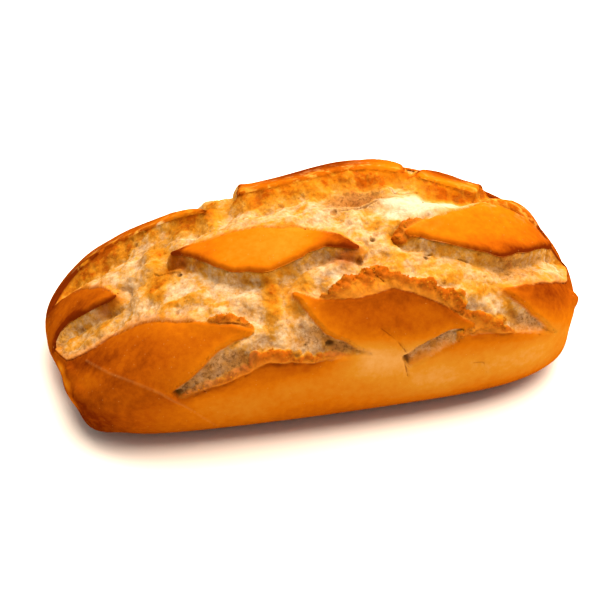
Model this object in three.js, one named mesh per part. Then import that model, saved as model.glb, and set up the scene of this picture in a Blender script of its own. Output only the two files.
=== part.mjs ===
// Candeal loaf: a short white loaf of tight crumb, slashed crosswise before baking. The cuts have torn
// open in the oven, so that smooth plates of crust stand between valleys of rough, pale crumb.
//
// Millimetres. +X runs along the loaf, -Y is the shown side, +Z is up. The loaf rests on its flat base, and
// the origin is at the middle of its bounding box on the floor.
import * as THREE from "three";
import { mergeVertices } from "three/addons/utils/BufferGeometryUtils.js";

// The loaf before it was slashed
const LENGTH = 210;
const WIDTH = 117;
const HEIGHT = 77;
const PEAK = 14; // the highest point lies this far to the right of the middle
const SQUARENESS = { left: 9, right: 5.6 }; // of each end in plan, where 2 is round and 10 nearly square
const FALL = { left: 0.5, right: 0.52 }; // share of the height lost from the peak to each end
const WAIST = 0.48; // the widest level, as a share of the height
const BELLY = 1.08; // how far the lower half reaches for the floor, above 1 for a flat base
const DOME = 1.9; // roundness of the upper half of a section, where 2 is an ellipse
const FOOT = { left: 4.6, right: 3.3 }; // roundness of the lower half at each end, squarer than the dome
const LEAN = -6; // the dome leans this far towards the shown side
const BOW = 6; // the ends lie this far behind the middle
const KEEL = { left: 0.3, right: 0.5 }; // how soon the underside rises at each end, where 0.5 is an ellipse
const TAPER = { left: 0.22, right: 0.03 }; // how much narrower the base is than the belly at each end
const TAPER_POWER = 1.2; // above 1 the taper gathers near the base
const END_TAPER = { left: 0.07, right: 0.03 }; // how far the base is set back, as a share of half the length
const CORNER = { left: 0.22, right: 0 }; // how much squarer the plan is at the base than at the belly
const CAP = 50; // radius that stands for an end face when its depth is measured out along the skin

// Places on the skin are [along, round], both measured over the skin in millimetres from the crest at the
// middle of the loaf: along is + to the right, round is + down the shown side. The third value is the kind
// of edge that runs from that corner to the next one.
const LIP = "lip"; // crust that overhangs the crumb
const RIM = "rim"; // crust with even crumb behind it
const CRAG = "crag"; // crust with a ridge of torn crumb behind it
const WALL = "wall"; // crust at the top of a tall torn face
const CUT = "cut"; // crust cut flush, with the crumb sunk a little beside it

// The outline of everything that has opened, from the left end along the shown side and home by the back
const OPENED = [
  [-127, 14, RIM], [-120, 24, RIM], [-113, 32, RIM], [-98, 26.5, RIM], [-86, 25, RIM], [-73, 28.5, RIM],
  [-56, 40, CRAG], [-36, 52, CUT], [-48.5, 54.5, CUT], [-58, 61, CUT], [-67, 66, CRAG], [-63.5, 73, CRAG],
  [-54, 71.5, CRAG], [-45, 70.5, CRAG], [-31, 67, CRAG], [-15, 72, CRAG], [8, 73, CUT], [-9, 60, CUT],
  [-19, 42, RIM], [-9, 48, CRAG], [4, 50.5, CRAG], [18, 48.5, CRAG], [33, 55, CRAG], [47, 65, CUT],
  [38, 65.5, CUT], [29, 70, CUT], [18.5, 76.5, RIM], [22, 82, RIM], [31.5, 78, RIM], [37, 74.7, CRAG],
  [44, 70, CRAG], [52, 69, CRAG], [66, 70, RIM], [84, 73, CUT], [75, 62, CUT], [61, 50, RIM],
  [79, 46, RIM], [104, 44, RIM], [122, 24, WALL], [100, 6, WALL], [84, -2, WALL], [68, 1, RIM],
  [98, -24, RIM], [118, -36, LIP], [100, -42, RIM], [112, -60, LIP], [84, -56, LIP], [38, -98, RIM],
  [42, -90, RIM], [12, -80, LIP], [-12, -98, RIM], [-4, -82, RIM], [-54, -74, LIP], [-82, -96, LIP],
  [-72, -66, LIP], [-52, -42, LIP], [-41, -19, WALL], [-52, -29, WALL], [-66, -39, WALL], [-82, -43, WALL],
  [-98, -48, WALL], [-114, -50, RIM], [-96, -26, RIM], [-85, -8, RIM], [-80, 2, LIP], [-88, -1, LIP],
  [-95, -3.5, LIP], [-103, -5, LIP], [-111, -4, LIP], [-120, 0, LIP],
];

// The plates of crust that stand alone in it
const PLATES = [
  [
    [-58, -1, RIM], [-26, 6, RIM], [2, 21, RIM], [8, 30, LIP], [-4, 26, LIP], [-25, 32, LIP],
    [-38, 26, LIP],
  ],
  [
    [27, 25, CRAG], [42, 19, RIM], [63, 6, RIM], [84, 4, RIM], [101, 12, LIP], [76, 29, LIP],
    [62, 35, LIP], [45, 30.5, LIP],
  ],
  [
    [-27, -23, WALL], [-12, -19, WALL], [20, -20, WALL], [37, -17, LIP], [40, -28, LIP], [12, -60, LIP],
    [-22, -52, LIP],
  ],
  [[41, -13, WALL], [52, -6, WALL], [62, -2, WALL], [75, -30, LIP], [68, -37, LIP], [47, -27, LIP]],
  [[45, -49, LIP], [74, -56, LIP], [50, -80, LIP], [20, -68, LIP]],
];

// What the oven made of an edge: how far its crust leans over the valley, how far it is lifted and how
// much of it is rounded over
const OVERHANG = { [LIP]: 1.3, [RIM]: 0, [CRAG]: 0.3, [WALL]: 0.8, [CUT]: 0 };
const LIFT = { [LIP]: 1, [RIM]: -0.6, [CRAG]: 0.6, [WALL]: 0.8, [CUT]: 0 };
const ROUND = { [LIP]: 1.7, [RIM]: 0.9, [CRAG]: 0.9, [WALL]: 1.2, [CUT]: 0.5 };
const CURL_RUN = 7; // how far back from its edge a plate is bent
const WIDEST = 16; // a valley at least this wide takes the whole overhang, and a narrower one less
const EDGE_WAVER = 0.5; // how far an edge strays from its straight line
const EDGE_STEP = 0.4; // spacing of the samples along an edge
const TIP = 6; // samples each way that an edge is rounded over

// The valleys
const DEPTH = 5.2; // floor below the crust
const DEPTH_PER_WIDTH = 0.5; // a narrow valley is shallower, by its width
const LIP_RUN = 5; // across the skin, how far it takes a lip to drop to the floor
const WALL_RUN = 14; // the same for a torn wall
const FLOOR_BULGE = 1.4; // power that makes the floor rise evenly from the foot of a lip to the far rim
const CUT_DEPTH = 1.8; // how far the crumb is sunk beside a flush cut
const CRAG_HEIGHT = 1.5; // how far a ridge of crags stands up
const CRAGS = [ // how wide it is: centre, reach both ways and width
  [4, 46, 24, 16, 6],
  [30, 51, 26, 16, 6.5],
  [-34, 66, 24, 14, 6],
  [-14, 70, 20, 12, 4],
  [-57, 68, 14, 12, 2.5],
  [52, 67, 20, 12, 7],
  [-42, 46, 16, 14, 4],
  [27, 24, 14, 12, 4.5],
];

// Places that the oven pushed out, or that sank: centre, reach both ways and height
const SWELLS = [
  [35, 16, 22, 12, 3.5],
  [13, -3, 15, 9, -3.6],
  [20, -36, 33, 26, 2.3],
  [56, -16, 26, 20, -1.5],
  [70, -44, 34, 26, -2.4],
  [86, -12, 18, 12, 1.8],
  [112, 4, 24, 28, -2.4],
  [-34, -40, 15, 20, 1.6],
  [-60, -46, 34, 34, -2.2],
  [-112, -64, 24, 28, 2],
  [-112, 14, 16, 26, 1.2],
  [-27, 36, 6, 9, 1.6],
  [101, 58, 9, 9, 2.2],
  [-132, 72, 20, 22, -2.2],
  [-99, 98, 15, 13, 2.4],
  [-110, 42, 5, 13, 1.5],
  [-103, 62, 5, 13, 1.7],
  [-98.5, 82, 5, 13, 1.3],
  [85, -50, 14, 18, -2.2],
  [104, 86, 18, 24, -1.5],
];

// Unevenness of the dough, as a few seeded waves for each: the whole loaf, and its torn crumb
const SEED = 41;
const DOUGH = { waves: 6, length: 70, height: 0.9 };
const CRUMB = { waves: 14, length: 13, height: 0.6 };

// The mesh
const CELL = 3.2; // size of a cell of the skin where the cuts are
const CAP_CELL = 5.5; // its length on the end faces
const BASE_ROUND = 108; // past this distance from the crest the skin belongs to the underside
const BASE_CELLS = 10;
const SNAP = 0.46; // a vertex moves onto an edge that is within this share of a cell

const HALF = LENGTH / 2;

function randomNumbers(seed) {
  let state = seed;
  return () => {
    state = (state * 1664525 + 1013904223) % 4294967296;
    return state / 4294967296;
  };
}

function clamp(value, low, high) {
  return Math.min(Math.max(value, low), high);
}

function smooth(value) {
  const x = clamp(value, 0, 1);
  return x * x * (3 - 2 * x);
}

// A rough field as a sum of waves in random directions, about -1 to 1
function makeWaves(random, { waves, length, height }) {
  const list = [];
  for (let i = 0; i < waves; i++) {
    const turn = 2 * Math.PI * random();
    const rise = 2 * random() - 1;
    const flat = Math.sqrt(1 - rise * rise);
    const pitch = (2 * Math.PI) / (length * (0.6 + 0.8 * random()));
    list.push({
      direction: new THREE.Vector3(flat * Math.cos(turn), flat * Math.sin(turn), rise).multiplyScalar(pitch),
      start: 2 * Math.PI * random(),
    });
  }
  const scale = height / Math.sqrt(waves / 2);
  return (point) => scale * list.reduce((sum, w) => sum + Math.sin(w.direction.dot(point) + w.start), 0);
}

function lookUp(table, key, value, wanted) {
  let low = 0;
  let high = table.length - 1;
  while (high - low > 1) {
    const middle = (low + high) >> 1;
    if (table[middle][key] > wanted) high = middle;
    else low = middle;
  }
  const span = table[high][key] - table[low][key];
  const share = span > 0 ? Math.min(Math.max((wanted - table[low][key]) / span, 0), 1) : 0;
  return table[low][value] + share * (table[high][value] - table[low][value]);
}

// Half of the plan's outline, from the middle of the loaf over the end face to the end's own middle.
// reach goes from 0 to 1 along the loaf and girth from 1 to 0 as the section shrinks to nothing.
function outlineTable(squareness) {
  const steps = 400;
  const table = [{ walked: 0, reach: 0, girth: 1 }];
  for (let i = 1; i <= steps; i++) {
    const angle = (Math.PI / 4) * (1 - Math.cos((Math.PI * i) / steps));
    const reach = Math.sin(angle) ** (2 / squareness);
    const girth = Math.cos(angle);
    const last = table[i - 1];
    const step = Math.hypot(HALF * (reach - last.reach), CAP * (girth - last.girth));
    table.push({ walked: last.walked + step, reach, girth });
  }
  return table;
}

const outlines = { left: outlineTable(SQUARENESS.left), right: outlineTable(SQUARENESS.right) };
const alongEnd = {
  left: -outlines.left.at(-1).walked,
  right: outlines.right.at(-1).walked,
};

// A value that differs between the ends, for a place from -1 to 1 along the loaf
function between(ends, reach) {
  return ends.right + (ends.left - ends.right) * ((1 - reach) / 2) ** 2;
}

// The smooth skin at a distance along and an angle round the section: 90 degrees is the crest, 180 the
// shown side and 0 the back
function sectionPoint(along, angle) {
  const side = along < 0 ? "left" : "right";
  const reach = Math.sign(along) * lookUp(outlines[side], "walked", "reach", Math.abs(along));
  const girth = lookUp(outlines[side], "walked", "girth", Math.abs(along));
  const fromPeak = reach - PEAK / HALF;
  const height = HEIGHT * (1 - (fromPeak < 0 ? FALL.left : FALL.right) * fromPeak ** 2);
  const waist = height * WAIST;
  const cos = Math.cos(angle);
  const sin = Math.sin(angle);
  const power = sin > 0 ? DOME : between(FOOT, reach);
  const radius = (Math.abs(cos) ** power + Math.abs(sin) ** power) ** (-1 / power);
  const rise = radius * sin;
  const upper = rise > 0;
  const under = upper ? 0 : Math.abs(rise) ** TAPER_POWER;
  const lean = upper ? LEAN * rise * girth : 0;
  const lift = upper ? (height - waist) * girth : waist * BELLY * girth ** KEEL[side];
  const across = (WIDTH / 2) * girth ** (1 - CORNER[side] * under) * (1 - between(TAPER, reach) * under);
  return new THREE.Vector3(
    HALF * reach * (1 - END_TAPER[side] * reach ** 2 * under),
    across * radius * cos + lean + BOW * reach ** 2,
    Math.max(waist + lift * rise, 0),
  );
}

// Distance round the middle section for each angle, from under the loaf over the back and the crest
function roundTable() {
  const steps = 1200;
  const table = [];
  let walked = 0;
  let last = null;
  for (let i = 0; i <= steps; i++) {
    const angle = -Math.PI / 2 + (2 * Math.PI * i) / steps;
    const point = sectionPoint(0, angle);
    if (last) walked += point.distanceTo(last);
    table.push({ walked, angle });
    last = point;
  }
  return table;
}

const rounds = roundTable();
const crestWalked = lookUp(rounds, "angle", "walked", Math.PI / 2);
const roundEnd = { back: -crestWalked, front: rounds.at(-1).walked - crestWalked };

function skinPoint(along, round) {
  return sectionPoint(along, lookUp(rounds, "walked", "angle", round + crestWalked));
}

function skinNormal(along, round) {
  const step = 0.4;
  const low = Math.max(along - step, alongEnd.left + step);
  const high = Math.min(along + step, alongEnd.right - step);
  const middle = Math.min(Math.max(along, alongEnd.left + 2 * step), alongEnd.right - 2 * step);
  const forward = skinPoint(Math.max(high, middle), round).sub(skinPoint(Math.min(low, middle), round));
  const across = skinPoint(middle, round + step).sub(skinPoint(middle, round - step));
  return across.cross(forward).normalize();
}

// A closed row of values, each replaced by the mean of its neighbours
function rounded(values, reach) {
  return values.map((_, index) => {
    let sum = 0;
    for (let shift = -reach; shift <= reach; shift++) {
      sum += values[(index + shift + reach * values.length) % values.length];
    }
    return sum / (2 * reach + 1);
  });
}

function signedArea(corners) {
  return corners.reduce((sum, [along, round], index) => {
    const [nextAlong, nextRound] = corners[(index + 1) % corners.length];
    return sum + along * nextRound - nextAlong * round;
  }, 0);
}

// Samples along the edges of a closed outline, each with its place on the skin, its kind and the way
// across the skin into the valley
function edgeSamples(corners, crustInside, random) {
  const samples = [];
  const sign = Math.sign(signedArea(corners)) * (crustInside ? 1 : -1);
  corners.forEach(([along, round, kind], index) => {
    const [nextAlong, nextRound] = corners[(index + 1) % corners.length];
    const run = Math.hypot(nextAlong - along, nextRound - round);
    const count = Math.max(2, Math.ceil(run / EDGE_STEP));
    const waver = EDGE_WAVER * Math.min(1, run / 30);
    const phases = [random(), random(), random()];
    const turn = [(nextRound - round) / run, -(nextAlong - along) / run];
    for (let i = 0; i < count; i++) {
      const share = i / count;
      const stray = Math.sin(Math.PI * share) * waver * [1, 2, 3].reduce(
        (sum, beat, k) => sum + Math.sin(2 * Math.PI * (beat * 1.3 * share + phases[k])) / beat, 0);
      samples.push({
        along: along + share * (nextAlong - along) + stray * turn[0],
        round: round + share * (nextRound - round) + stray * turn[1],
        kind,
        turnAlong: sign * turn[0],
        turnRound: sign * turn[1],
      });
    }
  });
  const reaches = { along: TIP / 2, round: TIP / 2, turnAlong: TIP, turnRound: TIP };
  for (const [key, reach] of Object.entries(reaches)) {
    const means = rounded(samples.map((sample) => sample[key]), reach);
    samples.forEach((sample, index) => { sample[key] = means[index]; });
  }
  for (const sample of samples) {
    const probe = 0.5 / Math.max(Math.hypot(sample.turnAlong, sample.turnRound), 1e-9);
    sample.point = skinPoint(sample.along, sample.round);
    sample.into = skinPoint(sample.along + probe * sample.turnAlong, sample.round + probe * sample.turnRound)
      .sub(sample.point)
      .normalize();
  }
  return samples;
}

// How wide the valley is in front of a sample
function valleyGap({ point, into }) {
  let gap = WIDEST;
  const away = new THREE.Vector3();
  for (const other of allSamples) {
    const far = away.subVectors(other.point, point).length();
    if (far > 1 && far < gap && away.dot(into) > 0.7 * far) gap = far;
  }
  return gap;
}

// Gives each sample of an outline its overhang and its lift, both less where the valley is narrow, and the
// radius of its edge
function bendEdge(samples) {
  const room = samples.map((sample) => valleyGap(sample) / WIDEST);
  const overhangs = rounded(samples.map(({ kind }, index) => OVERHANG[kind] * room[index]), TIP);
  const lifts = rounded(samples.map(({ kind }, index) => LIFT[kind] * Math.sqrt(room[index])), TIP);
  const radii = rounded(samples.map(({ kind }) => ROUND[kind]), TIP);
  samples.forEach((sample, index) => {
    sample.overhang = overhangs[index];
    sample.lift = lifts[index];
    sample.radius = radii[index];
  });
}

function isInside(samples, along, round) {
  let inside = false;
  for (let i = 0, j = samples.length - 1; i < samples.length; j = i++) {
    const a = samples[i];
    const b = samples[j];
    if (a.round > round !== b.round > round) {
      const crossing = a.along + ((round - a.round) / (b.round - a.round)) * (b.along - a.along);
      if (along < crossing) inside = !inside;
    }
  }
  return inside;
}

const random = randomNumbers(SEED);
const doughHeight = makeWaves(random, DOUGH);
const crumbHeight = makeWaves(random, CRUMB);
const openedEdge = edgeSamples(OPENED, false, random);
const plateEdges = PLATES.map((corners) => edgeSamples(corners, true, random));
const allSamples = [openedEdge, ...plateEdges].flat();
[openedEdge, ...plateEdges].forEach(bendEdge);

function nearestSample(point, samples) {
  let best = null;
  let bestSquare = Infinity;
  for (const sample of samples) {
    const square = sample.point.distanceToSquared(point);
    if (square < bestSquare) {
      best = sample;
      bestSquare = square;
    }
  }
  return { sample: best, distance: Math.sqrt(bestSquare) };
}

const KINDS = [LIP, RIM, CRAG, WALL, CUT];
const samplesOf = Object.fromEntries(KINDS.map(
  (kind) => [kind, allSamples.filter((sample) => sample.kind === kind)]));

// The sum of some rounded spots at a place on the skin: centre, reach both ways and strength
function spotSum(rows, along, round) {
  return rows.reduce((sum, [centreAlong, centreRound, reachAlong, reachRound, strength]) => {
    const away = Math.hypot((along - centreAlong) / reachAlong, (round - centreRound) / reachRound);
    return sum + strength * smooth(1 - away);
  }, 0);
}

// Height of the torn crumb over the smooth skin. It falls from a lip or a wall to the floor of its valley
// and climbs from there to the far rim. It is sunk beside a flush cut, and crags of a given width stand up
// behind some edges.
function valleyLevel(point, crags, nearest) {
  const far = Object.fromEntries(KINDS.map((kind) => [kind, nearestSample(point, samplesOf[kind]).distance]));
  const step = Math.min(far[LIP], far[WALL]);
  const rim = Math.min(far[RIM], far[CRAG], far[CUT]);
  const width = step + rim;
  const rough = crumbHeight(point);
  const torn = smooth((far[LIP] - far[WALL]) / 6 + 0.5);
  const run = Math.min(LIP_RUN + torn * (WALL_RUN - LIP_RUN), 0.6 * width);
  const fallen = clamp(step / run, 0, 1);
  const drop = (1 - torn) * smooth(fallen) + torn * (1 - (1 - fallen) ** 2);
  const climb = clamp(rim / (width - run), 0, 1) ** FLOOR_BULGE;
  const across = far[CRAG] / Math.max(crags * (1 + 0.3 * clamp(rough, -1, 1)), 0.5);
  const crag = smooth((1.3 - across) / 0.45) * smooth(crags / 2);
  const level = -Math.min(DEPTH, DEPTH_PER_WIDTH * width) * drop * climb
    - CUT_DEPTH * smooth(far[CUT] / 1.6) * (1 - smooth((far[CUT] - 5) / 8))
    + CRAG_HEIGHT * crag * smooth(across) * smooth(crags / 5)
    + rough * smooth(Math.min(step, rim) / 4);
  const join = smooth(nearest.distance / 1.4);
  return join * level + (1 - join) * (nearest.sample.lift - nearest.sample.radius);
}

// A vertex of the baked loaf for a place on the smooth skin
function loafPoint(along, round) {
  const point = skinPoint(along, round);
  if (point.z <= 0) return point;
  const normal = skinNormal(along, round);
  const nearest = nearestSample(point, allSamples);
  const isCrumb = nearest.distance > 1e-3 && isInside(openedEdge, along, round)
    && !plateEdges.some((edge) => isInside(edge, along, round));
  let height = doughHeight(point) * smooth((point.z - 1) / 12) + spotSum(SWELLS, along, round);
  if (isCrumb) {
    height += valleyLevel(point, spotSum(CRAGS, along, round), nearest);
  } else {
    const back = Math.max(1 - nearest.distance / CURL_RUN, 0) ** 2;
    const turned = Math.max(1 - nearest.distance / nearest.sample.radius, 0) ** 2;
    height += nearest.sample.lift * back - nearest.sample.radius * turned;
    point.addScaledVector(nearest.sample.into, nearest.sample.overhang * back);
  }
  point.addScaledVector(normal, height);
  point.z = Math.max(point.z, 0);
  return point;
}

// Steps from one value to another that are as even as the spacing wanted allows
function evenSteps(from, to, spacing) {
  const count = Math.max(1, Math.round((to - from) / spacing));
  return Array.from({ length: count }, (_, i) => from + ((to - from) * i) / count);
}

function skinGrid() {
  const bodyEnd = 96;
  const tip = 0.5 * CAP_CELL;
  const alongs = [
    ...evenSteps(alongEnd.left + tip, -bodyEnd, CAP_CELL),
    ...evenSteps(-bodyEnd, bodyEnd, CELL),
    ...evenSteps(bodyEnd, alongEnd.right - tip, CAP_CELL),
    alongEnd.right - tip,
  ];
  const underside = evenSteps(BASE_ROUND, BASE_ROUND + roundEnd.front - roundEnd.back - 2 * BASE_ROUND,
    (roundEnd.front - roundEnd.back - 2 * BASE_ROUND) / BASE_CELLS)
    .map((round) => (round > roundEnd.front ? round - (roundEnd.front - roundEnd.back) : round));
  const roundPlaces = [...evenSteps(-BASE_ROUND, BASE_ROUND, CELL), ...underside];
  return alongs.map((along) => roundPlaces.map((round) => ({ along, round, snapped: false })));
}

// Moves the vertices that are near an edge onto it, so that the edges are crisp
function snapToEdges(grid) {
  const taken = new Set();
  for (const row of grid) {
    for (const place of row) {
      if (Math.abs(place.round) >= BASE_ROUND - 1) continue;
      const { sample, distance } = nearestSample(skinPoint(place.along, place.round), allSamples);
      if (distance > SNAP * CELL || taken.has(sample)) continue;
      taken.add(sample);
      Object.assign(place, { along: sample.along, round: sample.round, snapped: true });
    }
  }
}

function skinGeometry() {
  const grid = skinGrid();
  snapToEdges(grid);
  const points = [];
  const numbers = grid.map((row) => row.map((place) => points.push(loafPoint(place.along, place.round)) - 1));
  const triangles = [];
  const rowLength = grid[0].length;
  for (let i = 0; i + 1 < grid.length; i++) {
    for (let j = 0; j < rowLength; j++) {
      const k = (j + 1) % rowLength;
      const [a, b, c, d] = [numbers[i][j], numbers[i + 1][j], numbers[i + 1][k], numbers[i][k]];
      const edgeOnAC = grid[i][j].snapped && grid[i + 1][k].snapped;
      const edgeOnBD = grid[i + 1][j].snapped && grid[i][k].snapped;
      const shorterAC = points[a].distanceTo(points[c]) < points[b].distanceTo(points[d]);
      const cutAC = edgeOnAC === edgeOnBD ? shorterAC : edgeOnAC;
      if (cutAC) triangles.push(a, c, b, a, d, c);
      else triangles.push(a, d, b, b, d, c);
    }
  }
  const ends = [[numbers[0], alongEnd.left, false], [numbers.at(-1), alongEnd.right, true]];
  for (const [row, end, flip] of ends) {
    const tip = points.push(skinPoint(end, 0)) - 1;
    row.forEach((here, j) => {
      const next = row[(j + 1) % rowLength];
      if (flip) triangles.push(tip, here, next);
      else triangles.push(tip, next, here);
    });
  }
  const geometry = new THREE.BufferGeometry();
  geometry.setAttribute("position", new THREE.Float32BufferAttribute(points.flatMap((p) => p.toArray()), 3));
  geometry.setIndex(triangles);
  return mergeVertices(geometry, 1e-4);
}

// Moves a geometry so that the middle of its bounding box is over the origin and its base on the floor
function standOnOrigin(geometry) {
  geometry.computeBoundingBox();
  const { min, max } = geometry.boundingBox;
  geometry.translate(-(min.x + max.x) / 2, -(min.y + max.y) / 2, -min.z);
}

const geometry = skinGeometry();
standOnOrigin(geometry);
geometry.computeVertexNormals();

const crust = new THREE.MeshStandardMaterial({ color: 0xe08a24, roughness: 0.62, metalness: 0 });
const loaf = new THREE.Mesh(geometry, crust);
loaf.name = "candeal_loaf";

const group = new THREE.Group();
group.add(loaf);

export default group;
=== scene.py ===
import math
from functools import partial

import bpy
import numpy as np
from bpy.props import FloatProperty, FloatVectorProperty, IntProperty, PointerProperty
from bpy.types import NodeSocket, Operator, Panel, PropertyGroup
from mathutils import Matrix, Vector, kdtree


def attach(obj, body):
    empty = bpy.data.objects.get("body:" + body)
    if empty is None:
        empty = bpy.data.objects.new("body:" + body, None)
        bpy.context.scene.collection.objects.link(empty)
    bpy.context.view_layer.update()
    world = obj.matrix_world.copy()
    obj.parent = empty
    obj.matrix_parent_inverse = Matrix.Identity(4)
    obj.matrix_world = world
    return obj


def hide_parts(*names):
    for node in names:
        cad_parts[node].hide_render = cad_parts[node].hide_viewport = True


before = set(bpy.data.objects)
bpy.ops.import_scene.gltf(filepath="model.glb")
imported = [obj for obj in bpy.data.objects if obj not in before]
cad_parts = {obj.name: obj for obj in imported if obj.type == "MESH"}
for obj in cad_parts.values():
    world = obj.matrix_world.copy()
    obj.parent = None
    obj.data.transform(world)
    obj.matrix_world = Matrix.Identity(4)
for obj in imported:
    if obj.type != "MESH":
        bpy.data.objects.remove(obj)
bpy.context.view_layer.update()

bl_info = {
    "name": "Candeal Loaf",
    "version": (1, 0, 0),
    "blender": (4, 5, 0),
    "location": "View3D > Sidebar > Loaf",
    "description": "A baked candeal loaf: smooth crust plates over valleys of torn crumb",
    "category": "Object",
}

# One body, one node and one finish, as the frame names them
BODY = "root"
NODE = "candeal_loaf"
LOAF = "baked_loaf"
FLAKES = "crumb_flakes"
MM = 0.001

# Kinds of node that are used often
MATH = "ShaderNodeMath"
VECTOR = "ShaderNodeVectorMath"
NOISE = "ShaderNodeTexNoise"
RANGE = "ShaderNodeMapRange"
MIX = "ShaderNodeMix"
RAMP = "ShaderNodeValToRGB"
MARK = "ShaderNodeAttribute"
NAMED = "GeometryNodeInputNamedAttribute"
STORE = "GeometryNodeStoreNamedAttribute"
MOVE = "GeometryNodeSetPosition"
DRAW = "FunctionNodeRandomValue"

# The loaf before it was slashed. Lengths are millimetres here, and the mesh is scaled to metres once, at
# the end. +X runs along the loaf, -Y is the shown side, and the base lies on Z = 0.
PEAK = 14  # the highest point lies this far to the right of the middle
SQUARENESS = {"left": 9, "right": 5.6}  # of each end in plan, where 2 is round and 10 nearly square
FALL = {"left": 0.5, "right": 0.52}  # share of the height lost from the peak to each end
WAIST = 0.48  # the widest level, as a share of the height
BELLY = 1.08  # how far the lower half reaches for the floor, above 1 for a flat base
DOME = 1.9  # roundness of the upper half of a section, where 2 is an ellipse
FOOT = {"left": 4.6, "right": 3.3}  # roundness of the lower half at each end, squarer than the dome
LEAN = -6  # the dome leans this far towards the shown side
BOW = 6  # the ends lie this far behind the middle
KEEL = {"left": 0.3, "right": 0.5}  # how soon the underside rises at each end, where 0.5 is an ellipse
TAPER = {"left": 0.22, "right": 0.03}  # how much narrower the base is than the belly at each end
TAPER_POWER = 1.2  # above 1 the taper gathers near the base
END_TAPER = {"left": 0.07, "right": 0.03}  # how far the base is set back, as a share of half the length
CORNER = {"left": 0.22, "right": 0}  # how much squarer the plan is at the base than at the belly
CAP = 50  # radius that stands for an end face when its depth is measured out along the skin
PLAN_STEPS = 400  # steps that half of the plan is walked in
SECTION_STEPS = 1200  # the same for the middle section

# Places on the skin are (along, round), both measured over the skin in millimetres from the crest at the
# middle of the loaf: along is + to the right, round is + down the shown side. The third value is the kind
# of edge that runs from that corner to the next one.
LIP = 0  # crust that overhangs the crumb
RIM = 1  # crust with even crumb behind it
CRAG = 2  # crust with a ridge of torn, toasted crumb behind it
WALL = 3  # crust at the top of a tall torn face
CUT = 4  # crust cut flush, with the crumb sunk a little beside it
KINDS = (LIP, RIM, CRAG, WALL, CUT)

# The outline of everything that has opened, from the left end along the shown side and home by the back
OPENED = [
    (-127, 14, RIM), (-120, 24, RIM), (-113, 32, RIM), (-98, 26.5, RIM), (-86, 25, RIM), (-73, 28.5, RIM),
    (-56, 40, CRAG), (-36, 52, CUT), (-48.5, 54.5, CUT), (-58, 61, CUT), (-67, 66, CRAG), (-63.5, 73, CRAG),
    (-54, 71.5, CRAG), (-45, 70.5, CRAG), (-31, 67, CRAG), (-15, 72, CRAG), (8, 73, CUT), (-9, 60, CUT),
    (-19, 42, RIM), (-9, 48, CRAG), (4, 50.5, CRAG), (18, 48.5, CRAG), (33, 55, CRAG), (47, 65, CUT),
    (38, 65.5, CUT), (29, 70, CUT), (18.5, 76.5, RIM), (22, 82, RIM), (31.5, 78, RIM), (37, 74.7, CRAG),
    (44, 70, CRAG), (52, 69, CRAG), (66, 70, RIM), (84, 73, CUT), (75, 62, CUT), (61, 50, RIM),
    (79, 46, RIM), (104, 44, RIM), (122, 24, WALL), (100, 6, WALL), (84, -2, WALL), (68, 1, RIM),
    (98, -24, RIM), (118, -36, LIP), (100, -42, RIM), (112, -60, LIP), (84, -56, LIP), (38, -98, RIM),
    (42, -90, RIM), (12, -80, LIP), (-12, -98, RIM), (-4, -82, RIM), (-54, -74, LIP), (-82, -96, LIP),
    (-72, -66, LIP), (-52, -42, LIP), (-41, -19, WALL), (-52, -29, WALL), (-66, -39, WALL), (-82, -43, WALL),
    (-98, -48, WALL), (-114, -50, RIM), (-96, -26, RIM), (-85, -8, RIM), (-81, 4.5, LIP), (-88.5, 1, LIP),
    (-95.5, -2, LIP), (-103, -5, LIP), (-111, -4, LIP), (-120, 0, LIP),
]

# The plates of crust that stand alone in it
PLATES = [
    [(-58, -1, RIM), (-26, 6, RIM), (2, 21, RIM), (8, 29, LIP), (-4, 24.5, LIP), (-26, 30, LIP),
     (-39, 24, LIP)],
    [(27, 25, CRAG), (42, 19, RIM), (63, 6, RIM), (84, 4, RIM), (101, 12, LIP), (76, 29, LIP),
     (62, 35, LIP), (45, 30.5, LIP)],
    [(-27, -23, WALL), (-12, -19, WALL), (20, -20, WALL), (37, -17, LIP), (40, -28, LIP), (12, -60, LIP),
     (-22, -52, LIP)],
    [(41, -13, WALL), (52, -6, WALL), (62, -2, WALL), (75, -30, LIP), (68, -37, LIP), (47, -27, LIP)],
    [(45, -49, LIP), (74, -56, LIP), (50, -80, LIP), (20, -68, LIP)],
]

# What the oven made of an edge: how far its crust leans over the valley and how far it is lifted
OVERHANG = {LIP: 1.3, RIM: 0, CRAG: 0.3, WALL: 0.8, CUT: 0}
LIFT = {LIP: 1.0, RIM: -0.6, CRAG: 0.6, WALL: 0.8, CUT: 0}
ROUND = {LIP: 1.7, RIM: 0.35, CRAG: 0.6, WALL: 0.9, CUT: 0.5}  # radius that the crust is rounded over to
CURL_RUN = 7  # how far back from its edge a plate is bent
WIDEST = 16  # a valley at least this wide takes the whole overhang, and a narrower one less
TIP = 12  # samples each way that an edge is rounded over
EDGE_WAVER = 0.5  # how far an edge strays from its straight line
EDGE_WHOLE = 30  # an edge shorter than this strays less
EDGE_STEP = 0.2  # spacing of the samples along an edge

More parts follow.
